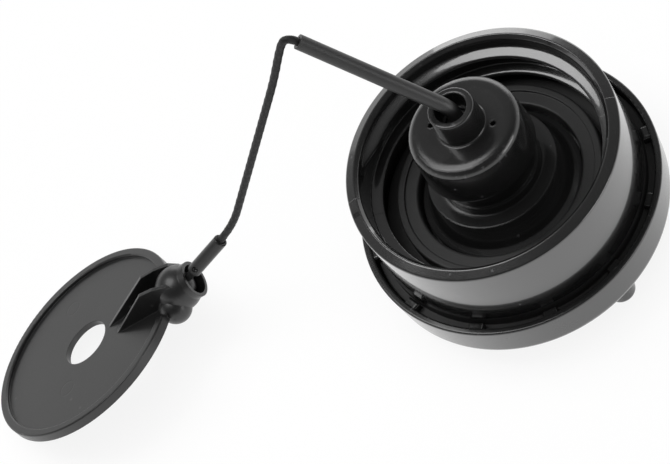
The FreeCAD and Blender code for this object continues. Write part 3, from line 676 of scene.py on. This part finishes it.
def grid_mesh(name: str, points: np.ndarray, wrap_u: bool = False, wrap_v: bool = False
              ) -> bpy.types.Object:
    """Mesh from a grid of points, P(u, v), with a quad between each four neighbours.

    Args:
        name: Name of the piece.
        points: Array of rows u, columns v and three coordinates.
        wrap_u: Join the last row to the first.
        wrap_v: Join the last column to the first.

    Returns:
        The linked object, smooth shaded.
    """
    rows, columns = points.shape[:2]
    index = np.arange(rows * columns).reshape(rows, columns)
    low = index if wrap_u else index[:-1]
    high = np.roll(index, -1, 0) if wrap_u else index[1:]
    left, right = (low, np.roll(low, -1, 1)) if wrap_v else (low[:, :-1], low[:, 1:])
    left_up, right_up = (high, np.roll(high, -1, 1)) if wrap_v else (high[:, :-1], high[:, 1:])
    faces = np.stack([left, right, right_up, left_up], -1).reshape(-1, 4)
    mesh = bpy.data.meshes.new(name)
    mesh.vertices.add(rows * columns)
    mesh.vertices.foreach_set("co", points.reshape(-1).astype(np.float32))
    mesh.loops.add(faces.size)
    mesh.loops.foreach_set("vertex_index", faces.reshape(-1).astype(np.int32))
    mesh.polygons.add(len(faces))
    mesh.polygons.foreach_set("loop_start", np.arange(0, faces.size, 4, dtype=np.int32))
    mesh.polygons.foreach_set("use_smooth", np.ones(len(faces), dtype=bool))
    mesh.update(calc_edges=True)
    piece = bpy.data.objects.new(name, mesh)
    bpy.context.scene.collection.objects.link(piece)
    return piece


@dataclass
class TetherCord:
    """Braided cord from the nipple to the ferrule, on one smooth spline."""

    route: Sequence[Point] = (
        (0.0, 0.0, 31.9), (0.0, 0.0, 37.0), (-1.77, 2.75, 40.91), (-13.24, 20.56, 66.22),
        (-14.05, 21.82, 68.0), (-15.34, 23.71, 68.42), (-17.1, 24.9, 65.9), (-22.07, 27.34, 57.15),
        (-27.36, 30.27, 48.68), (-43.69, 39.31, 22.55), (-48.0, 41.7, 15.65), (-53.09, 45.09, 10.31),
        (-55.9, 46.84, 8.06))
    spline_order: int = 3
    spline_steps: int = 24
    nipple_top: float = 37.2
    radius: float = 1.0
    length: float = 124.1
    around: int = 24
    along: int = 700
    strands: int = 8
    lay_length: float = 5.2
    relief: float = 0.1
    across: Point = (0.7, 0.7, 0.0)
    finish: BraidFinish = CORD_BRAID

    def spline_points(self) -> np.ndarray:
        """Points of the route's NURBS spline, as the curve itself gives them.

        Returns:
            Rows of places along the curve, in metres.
        """
        curve = bpy.data.curves.new("tether_route", "CURVE")
        curve.dimensions = "3D"
        curve.resolution_u = self.spline_steps
        spline = curve.splines.new("NURBS")
        spline.points.add(len(self.route) - 1)
        places = np.c_[np.array(self.route) * MM, np.ones(len(self.route))]
        spline.points.foreach_set("co", places.reshape(-1).astype(np.float32))
        spline.order_u = self.spline_order
        spline.use_endpoint_u = True
        holder = bpy.data.objects.new("tether_route", curve)
        bpy.context.scene.collection.objects.link(holder)
        mesh = bpy.data.meshes.new_from_object(holder)
        points = np.empty(len(mesh.vertices) * 3, dtype=np.float32)
        mesh.vertices.foreach_get("co", points)
        bpy.data.objects.remove(holder)
        bpy.data.curves.remove(curve)
        bpy.data.meshes.remove(mesh)
        return points.reshape(-1, 3).astype(float)

    def even(self, points: np.ndarray) -> np.ndarray:
        """Places at even steps of length along the spline's points.

        Args:
            points: Points read from the spline.

        Returns:
            The same line in as many even steps as the braid has rows.
        """
        steps = np.r_[0.0, np.cumsum(np.linalg.norm(np.diff(points, axis=0), axis=1))]
        marks = np.linspace(0.0, steps[-1], self.along)
        return np.stack([np.interp(marks, steps, points[:, i]) for i in range(3)], -1)

    def build(self) -> bpy.types.Object:
        """Tube round the spline: P(s, a) = line(s) + r(s, a) (cos a, sin a) across the line.

        The two directions across the line come from one fixed direction that the line never takes.
        The radius r falls by the relief in the furrows between two families of strands that wind
        round the cord in opposite directions, one over the other in turn.

        Returns:
            The cord's piece.
        """
        line = self.even(self.spline_points())
        heading = unit(np.gradient(line, axis=0))
        side = np.array(self.across)
        first = unit(side - heading * (heading @ side)[:, None])
        second = np.cross(heading, first)
        span = np.linalg.norm(np.diff(line, axis=0), axis=1).sum() / MM
        s = np.linspace(0.0, span, self.along)[:, None]
        a = np.linspace(0.0, 2 * np.pi, self.around, endpoint=False)[None, :]
        half = self.strands / 2
        wind = 2 * np.pi * s / self.lay_length
        right = np.abs(np.cos(half * a / 2 + wind * half / 4))
        left = np.abs(np.cos(half * a / 2 - wind * half / 4))
        over = 0.5 + 0.5 * np.sin(half * a) * np.sign(np.sin(wind * half / 2))
        yarn = np.clip(right * over + left * (1.0 - over), 0.0, 1.0)
        radius = self.radius * MM * (1.0 - self.relief * (1.0 - yarn))
        ring = np.cos(a)[..., None] * first[:, None, :] + np.sin(a)[..., None] * second[:, None, :]
        piece = grid_mesh("braided_cord", line[:, None, :] + radius[..., None] * ring, wrap_v=True)
        shade = piece.data.attributes.new(YARN_ATTRIBUTE, "FLOAT", "POINT")
        shade.data.foreach_set("value", yarn.reshape(-1).astype(np.float32))
        piece.data.materials.append(self.finish.build())
        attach(piece, Body.TETHER.value)
        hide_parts("tether_cord")
        LOG.info("built %s, %.1f mm long", piece.name, span)
        return piece


@dataclass
class SubAssembly:
    """Carried-over solids that belong together, and the finish of each."""

    finishes: Dict[str, Finish] = field(default_factory=dict)

    def material(self, finish: Finish) -> bpy.types.Material:
        """Make a finish once and return it for every solid that wears it."""
        known = bpy.data.materials.get(finish.name)
        return known if known else finish.build()

    def build(self) -> Optional[bpy.types.Object]:
        """Make the piece that stands for a solid, where the sub-assembly has one."""
        return None

    def dress(self) -> None:
        """Give each solid its finish."""
        for node, finish in self.finishes.items():
            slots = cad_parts[node].data.materials
            slots.clear()
            slots.append(self.material(finish))
            LOG.info("dressed %s in %s", node, finish.name)


@dataclass
class Cover(SubAssembly):
    """Outer cover and the ratchet ring on its hub."""

    finishes: Dict[str, Finish] = field(default_factory=lambda: {
        "outer_cover": GLOSS_COVER, "ratchet_ring": NATURAL_ACETAL})


@dataclass
class Cup(SubAssembly):
    """Neck gasket, and the threaded cup as one moulded skin with a rounded thread that runs out.

    Radii and heights of the outline come first, then those of the thread and of the ratchet teeth.
    """

    finishes: Dict[str, Finish] = field(default_factory=lambda: {"neck_gasket": SOFT_RUBBER})
    hole: float = 10.6
    bore: float = 30.6
    ring: float = 31.2
    ridge: float = 31.6
    skirt: float = 34.0
    flange: float = 35.9
    foot: float = -7.6
    flange_top: float = -5.4
    underside: float = -4.5
    floor: float = -2.0
    rim_edge: float = 16.95
    mouth: float = 17.0
    rim_top: float = 18.0
    inner_round: float = 0.2
    outer_round: float = 0.3
    rim_round: float = 0.4
    ridge_round: float = 0.25
    round_steps: int = 7
    side_gap: float = 0.15
    columns: int = 360
    wall_rows: int = 170
    wall_gap: float = 0.6
    pitch: float = 7.4
    start: float = 3.5
    start_angle: float = -60.8
    turns: float = 1.54
    depth: float = 2.6
    crest: float = 0.45
    flank_high: float = 0.65
    flank_low: float = 1.3
    soft: float = 0.13
    run_out: float = 0.055
    tooth_depth: float = 1.3
    tooth_land: float = 0.8
    tooth_ramp: float = 7.0
    tooth_turn: float = 35.0
    teeth: int = 24
    tooth_reach: float = 0.02

    def corners(self) -> np.ndarray:
        """Corners of the outline, from the foot of the bore under the floor and up the skirt.

        Returns:
            Rows of radius, height and rounding.
        """
        inner, outer = self.inner_round, self.outer_round
        return np.array([
            (self.bore, self.floor, outer), (self.hole, self.floor, inner),
            (self.hole, self.underside, inner), (self.ring, self.underside, inner),
            (self.ring, self.foot, inner), (self.flange, self.foot, outer),
            (self.flange, self.flange_top, outer), (self.skirt, self.flange_top, outer),
            (self.skirt, self.rim_edge, self.rim_round), (self.ridge, self.rim_top, self.ridge_round),
            (self.bore, self.mouth, outer)])

    def profile(self) -> np.ndarray:
        """Outline of the cup, with each corner rounded.

        A corner C with its next and last corner at directions N and L becomes the curve
        (1 - t)^2 (C + R L) + 2 t (1 - t) C + t^2 (C + R N), with one more point on each straight side.

        Returns:
            Rows of radius and height, from the foot of the bore round to its mouth.
        """
        data = self.corners()
        place, radius = data[:, :2], data[:, 2][:, None, None]
        ahead = unit(np.roll(place, -1, 0) - place)[:, None, :]
        behind = unit(np.roll(place, 1, 0) - place)[:, None, :]
        t = np.linspace(0.0, 1.0, self.round_steps)[None, :, None]
        corner = place[:, None, :]
        curve = corner + radius * ((1.0 - t) ** 2 * behind + t ** 2 * ahead)
        margin = radius + self.side_gap
        return np.concatenate([corner + margin * behind, curve, corner + margin * ahead], 1).reshape(-1, 2)

    def thread(self, z: np.ndarray, turn: np.ndarray) -> np.ndarray:
        """Height of the thread over the wall, 0 on the bore and 1 at the crest.

        Each lap is a ridge with straight flanks about the helix
        z = start + pitch (turn - start_angle) / 360, tapered at both ends by e e (3 - 2 e), where e runs
        from 0 to 1. A Gaussian along z then rounds crest and root.

        Args:
            z: Heights as a column.
            turn: Turns about Z in degrees as a row.

        Returns:
            Grid of heights.
        """
        share = ((turn - self.start_angle) / 360.0) % 1.0
        run = np.stack([share, share + 1.0])
        gap = z[None] - (self.start + self.pitch * run)
        high = (self.crest + self.flank_high - gap) / self.flank_high
        low = (self.crest + self.flank_low + gap) / self.flank_low
        ends = np.clip(np.minimum(run, self.turns - run) / self.run_out, 0.0, 1.0)
        ridge = (np.clip(np.minimum(high, low), 0.0, 1.0) * ends * ends * (3.0 - 2.0 * ends)).max(0)
        kernel = np.exp(-0.5 * ((z - z.T) / self.soft) ** 2)
        return kernel / kernel.sum(1, keepdims=True) @ ridge

    def ratchet(self, turn: np.ndarray) -> np.ndarray:
        """Height of the ratchet teeth: in each tooth's share of the turn a land, then a straight ramp.

        Args:
            turn: Turns about Z in degrees.

        Returns:
            Heights at those turns.
        """
        along = np.radians((self.tooth_turn - turn) % (360.0 / self.teeth)) * self.ring
        slope = (self.tooth_ramp - along) / (self.tooth_ramp - self.tooth_land)
        return self.tooth_depth * np.clip(slope, 0.0, 1.0)

    def build(self) -> bpy.types.Object:
        """Carry the outline round Z: P(u, a) = (r(u, a) cos a, r(u, a) sin a, z(u)).

        Returns:
            The cup's piece.
        """
        turn = np.linspace(0.0, 360.0, self.columns, endpoint=False)[None, :]
        outline = self.profile()
        wall = np.linspace(self.mouth - self.wall_gap, self.floor + self.wall_gap, self.wall_rows)[:, None]
        bore = self.bore - self.depth * self.thread(wall, turn)
        shell = np.repeat(outline[:, :1], self.columns, 1)
        toothed = (np.abs(outline[:, :1] - self.ring) < self.tooth_reach) & (outline[:, 1:] < self.floor)
        shell = shell - toothed * self.ratchet(turn)
        r = np.concatenate([bore, shell]) * MM
        z = np.concatenate([wall, outline[:, 1:]]) * MM + 0.0 * turn
        a = np.radians(turn)
        points = np.stack([r * np.cos(a), r * np.sin(a), z], -1)
        piece = grid_mesh("moulded_cup", points, wrap_u=True, wrap_v=True)
        piece.data.materials.append(self.material(GLOSS_CUP))
        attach(piece, Body.CUP.value)
        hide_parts("threaded_cup")
        LOG.info("built %s", piece.name)
        return piece


@dataclass
class VentPlug(SubAssembly):
    """Vent plug with its valve, and the valve's spring as a tube round a helix."""

    finishes: Dict[str, Finish] = field(default_factory=lambda: {
        "vent_housing": PLUG_MOULDING, "valve_seal": SOFT_RUBBER, "valve_plate": NATURAL_ACETAL,
        "spring_retainer": NATURAL_ACETAL})
    coil: float = 5.4
    wire: float = 0.5
    turns: float = 5.0
    foot: float = 4.0
    head: float = 21.5
    lift: float = 2.0
    rows: int = 480
    around: int = 16

    def build(self) -> bpy.types.Object:
        """Coil spring from its foot to its head.

        A tube round a helix: P(s, b) = ((R + w cos b) cos a, (R + w cos b) sin a, z + w sin b), with
        a = 2 pi turns s and z from foot + w to head - w; the wire's radius w falls to nothing at both ends.

        Returns:
            The spring's piece.
        """
        s = np.r_[0.0, np.linspace(0.0, 1.0, self.rows), 1.0][:, None]
        wire = np.r_[0.0, np.full(self.rows, self.wire), 0.0][:, None]
        b = np.linspace(2 * np.pi, 0.0, self.around, endpoint=False)[None, :]
        a = 2 * np.pi * self.turns * s
        r = self.coil + wire * np.cos(b)
        z = self.foot + self.wire + (self.head - self.foot - 2 * self.wire) * s + wire * np.sin(b)
        piece = grid_mesh("coil_spring", np.stack([r * np.cos(a), r * np.sin(a), z], -1) * MM, wrap_v=True)
        piece.data.materials.append(self.material(SPRING_STEEL))
        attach(piece, Body.CUP.value)
        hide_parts("valve_spring")
        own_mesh(piece)
        LOG.info("built %s", piece.name)
        return piece


@dataclass
class Tether(SubAssembly):
    """Anchor ball, sleeve, ferrule and stud."""

    finishes: Dict[str, Finish] = field(default_factory=lambda: {
        "tether_anchor": SATIN_SLEEVE, "tether_sleeve": SATIN_SLEEVE, "tether_ferrule": DARK_FERRULE,
        "ball_stud": STUD_STEEL})


@dataclass
class Disc(SubAssembly):
    """Retaining disc."""

    finishes: Dict[str, Finish] = field(default_factory=lambda: {"retaining_disc": MATTE_DISC})


@dataclass(frozen=True)
class Softbox:
    """Soft rectangular lamp that faces the cap; its power is in watts to the square metre at level one."""

    name: str
    azimuth: float
    elevation: float
    distance: float
    wide: float
    tall: float
    level: float
    gloss: bool = True
    power: float = 4.0
    target: Point = (-0.02, 0.015, 0.0)

    def build(self) -> None:
        """Hang the lamp at its azimuth and elevation, with energy by its area and its level."""
        turn, lift = np.radians(self.azimuth), np.radians(self.elevation)
        out = np.array([np.cos(turn) * np.cos(lift), np.sin(turn) * np.cos(lift), np.sin(lift)])
        across = unit(np.cross((0.0, 0.0, 1.0), out))
        data = bpy.data.lights.new(self.name, "AREA")
        data.shape = "RECTANGLE"
        data.size, data.size_y = self.wide, self.tall
        data.energy = self.power * self.wide * self.tall * self.level
        lamp = bpy.data.objects.new(self.name, data)
        lamp.visible_glossy = self.gloss
        place = np.eye(4)
        place[:3, 0], place[:3, 1], place[:3, 2] = across, np.cross(out, across), out
        place[:3, 3] = np.array(self.target) + out * self.distance
        lamp.matrix_world = Matrix(place.tolist())
        bpy.context.scene.collection.objects.link(lamp)


@dataclass
class Studio:
    """Pale floor that sweeps up into a low backdrop, a plain room and soft lamps."""

    flat: float = 3.0
    flat_steps: int = 7
    sweep: float = 0.9
    sweep_steps: int = 16
    around: int = 96
    colour: Colour = grey(0.94)
    rough: float = 0.9
    specular: float = 0.1
    white: float = 0.88
    ambient: Tuple[float, float] = (0.1, 0.26)
    ambient_span: Tuple[float, float] = (-0.3, 0.8)
    lamps: Sequence[Softbox] = (
        Softbox("key_softbox", 121.0, 68.0, 0.8, 0.42, 0.52, 2.8),
        Softbox("back_strip", 44.0, 8.0, 0.9, 0.8, 0.32, 1.3),
        Softbox("side_softbox", -62.0, 12.0, 0.9, 0.5, 0.3, 2.2),
        Softbox("overhead_fill", -90.0, 80.0, 1.2, 1.0, 1.0, 2.5, gloss=False),
    )

    def backdrop(self, level: float) -> None:
        """Floor and backdrop as one surface of revolution about Z.

        The profile is flat out to a radius, then a quarter circle r = flat + R sin t,
        z = level + R (1 - cos t).

        Args:
            level: Height of the floor.
        """
        t = np.linspace(0.0, np.pi / 2, self.sweep_steps)
        flat = np.linspace(0.0, self.flat, self.flat_steps, endpoint=False)
        r = np.r_[flat, self.flat + self.sweep * np.sin(t)][:, None]
        z = np.r_[np.zeros(self.flat_steps), self.sweep * (1.0 - np.cos(t))][:, None] + level
        a = np.linspace(0.0, 2 * np.pi, self.around, endpoint=False)[None, :]
        points = np.stack([r * np.cos(a), r * np.sin(a), z + 0.0 * a], -1)
        piece = grid_mesh("studio_floor", points, wrap_v=True)
        material = bpy.data.materials.new("pale_floor")
        material.use_nodes = True
        wiring = Wiring(material.node_tree)
        shader = material.node_tree.nodes["Principled BSDF"]
        shader.inputs["Base Color"].default_value = self.colour
        shader.inputs["Roughness"].default_value = self.rough
        shader.inputs["Specular IOR Level"].default_value = self.specular
        path = wiring.add("ShaderNodeLightPath")
        seen = wiring.math("MAXIMUM", path.outputs["Is Camera Ray"], path.outputs["Is Glossy Ray"])
        seen = wiring.math("MAXIMUM", seen, path.outputs["Is Transmission Ray"])
        white = wiring.add("ShaderNodeEmission")
        white.inputs["Color"].default_value = WHITE
        mix = wiring.add("ShaderNodeMixShader")
        wiring.feed(wiring.math("MULTIPLY", seen, self.white), mix.inputs[0])
        wiring.feed(shader.outputs[0], mix.inputs[1])
        wiring.feed(white.outputs[0], mix.inputs[2])
        wiring.feed(mix.outputs[0], material.node_tree.nodes["Material Output"].inputs[0])
        piece.data.materials.append(material)
        piece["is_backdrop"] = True

    def room(self) -> None:
        """Dim even light from all round, rising a little towards the far side."""
        world = bpy.data.worlds.new("plain_room")
        bpy.context.scene.world = world
        world.use_nodes = True
        wiring = Wiring(world.node_tree)
        split = wiring.add("ShaderNodeSeparateXYZ")
        wiring.feed(wiring.add("ShaderNodeTexCoord").outputs["Generated"], split.inputs[0])
        back = world.node_tree.nodes["Background"]
        back.inputs["Color"].default_value = WHITE
        strength = wiring.ramp(split.outputs[1], *self.ambient_span, *self.ambient)
        wiring.feed(strength, back.inputs["Strength"])

    def build(self, level: float) -> None:
        """Set up backdrop, room and lamps.

        Args:
            level: Height of the floor.
        """
        bpy.context.scene.view_settings.view_transform = "Standard"
        self.backdrop(level)
        self.room()
        for lamp in self.lamps:
            lamp.build()


def main() -> None:
    """Build the scene in order and report each piece."""
    logging.basicConfig(level=logging.INFO, format="%(message)s")
    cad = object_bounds()
    PhotoCamera().build()
    for make in (build_grain, build_specks, build_scratches, build_seam, build_pin_mark, build_edge_wear,
                 build_recess, build_crown):
        make()
    TetherCord().build()
    for part in (Cover(), Cup(), VentPlug(), Tether(), Disc()):
        part.build()
        part.dress()
    Studio().build(float(cad[0][2]) - FLOOR_GAP)


if __name__ == "__main__":
    main()
